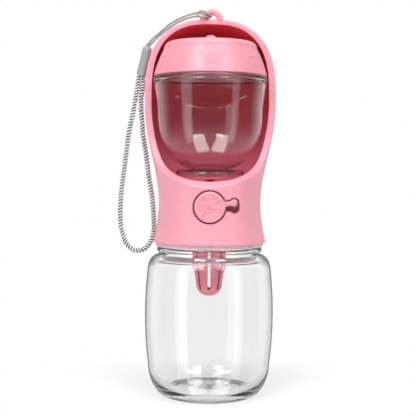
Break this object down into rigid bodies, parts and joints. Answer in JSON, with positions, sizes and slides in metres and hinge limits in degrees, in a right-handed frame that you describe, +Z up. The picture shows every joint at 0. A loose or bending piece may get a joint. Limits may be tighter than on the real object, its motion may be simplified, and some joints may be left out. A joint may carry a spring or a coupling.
{
  "type": "dog travel water bottle",
  "caption": "Clear water bottle with a screwed-on hooded drinking trough, a lockable push button valve, a food cup with a screw lid inside the hood, and a wrist lanyard.",
  "frame": {"origin": "centre of the bottle's foot ring, on the surface it stands on", "axes": "+Z up the bottle's axis; the button and the open side of the hood face -Y; +X is to the right seen from the front"},
  "size_m": [0.095, 0.0777, 0.231],
  "materials": {
    "clear_plastic": "clear moulded plastic, polished",
    "silicone": "soft translucent silicone",
    "seal_rubber": "black rubber, satin",
    "milky_plastic": "milky pink moulded plastic, satin",
    "pink_plastic": "pink moulded plastic, soft gloss",
    "rose_plastic": "deep rose moulded plastic, soft gloss",
    "steel": "plain steel",
    "strainer_plastic": "translucent dusky pink plastic",
    "white_plastic": "white acetal, satin",
    "button_plastic": "light pink moulded plastic, soft gloss",
    "lid_plastic": "light pink moulded plastic, soft gloss",
    "thin_cord_yarn": "twisted grey cord",
    "sleeve_plastic": "light grey soft plastic",
    "wrist_cord_yarn": "knitted light grey cord"
  },
  "bodies": {
    "bottle": {"bottle": "clear_plastic"},
    "gasket": {"neck_gasket": "silicone"},
    "head": {"threaded_collar": "milky_plastic", "head_shell": "pink_plastic", "lanyard_eye": "pink_plastic", "button_well": "rose_plastic", "valve_plate": "pink_plastic", "valve_housing": "pink_plastic", "housing_end_cap": "pink_plastic", "outlet_cover": "rose_plastic", "plate_screws": "steel", "strainer_cage": "strainer_plastic", "button_spring": "steel", "thin_cord": "thin_cord_yarn", "cord_sleeve": "sleeve_plastic", "wrist_loop_cord": "wrist_cord_yarn"},
    "plunger": {"plunger": "white_plastic", "stem_seal": "seal_rubber", "valve_disc": "silicone"},
    "button": {"lock_button": "button_plastic"},
    "cup": {"food_cup": "clear_plastic"},
    "seal": {"lid_seal": "silicone"},
    "lid": {"cup_lid": "lid_plastic"}
  },
  "joints": [
    {"name": "head_lift", "type": "slide", "parent": "bottle", "child": "gasket", "axis": [0, 0, 1], "range_m": [0, 0.00505]},
    {"name": "head_turn", "type": "hinge", "parent": "gasket", "child": "head", "pos_m": [0, 0, 0.0952], "axis": [0, 0, 1], "range_deg": [0, 450]},
    {"name": "button_press", "type": "slide", "parent": "head", "child": "plunger", "axis": [0, 1, 0], "range_m": [0, 0.0028], "stiffness_N_per_m": 800, "springref_m": -0.003, "deforming": ["button_spring"]},
    {"name": "lock_turn", "type": "hinge", "parent": "plunger", "child": "button", "pos_m": [0, -0.025, 0.1135], "axis": [0, 1, 0], "range_deg": [0, 13]},
    {"name": "cup_out", "type": "slide", "parent": "head", "child": "cup", "axis": [0, -0.9848, 0.1736], "range_m": [0, 0.08]},
    {"name": "lid_lift", "type": "slide", "parent": "cup", "child": "seal", "axis": [0, 0, 1], "range_m": [0, 0.00205]},
    {"name": "lid_turn", "type": "hinge", "parent": "seal", "child": "lid", "pos_m": [0, 0, 0.195], "axis": [0, 0, 1], "range_deg": [0, 90]}
  ],
  "couplings": [
    {"joint": "head_lift", "follows": "head_turn", "m_per_rad": 0.00063662},
    {"joint": "lid_lift", "follows": "lid_turn", "m_per_rad": 0.0012732}
  ]
}
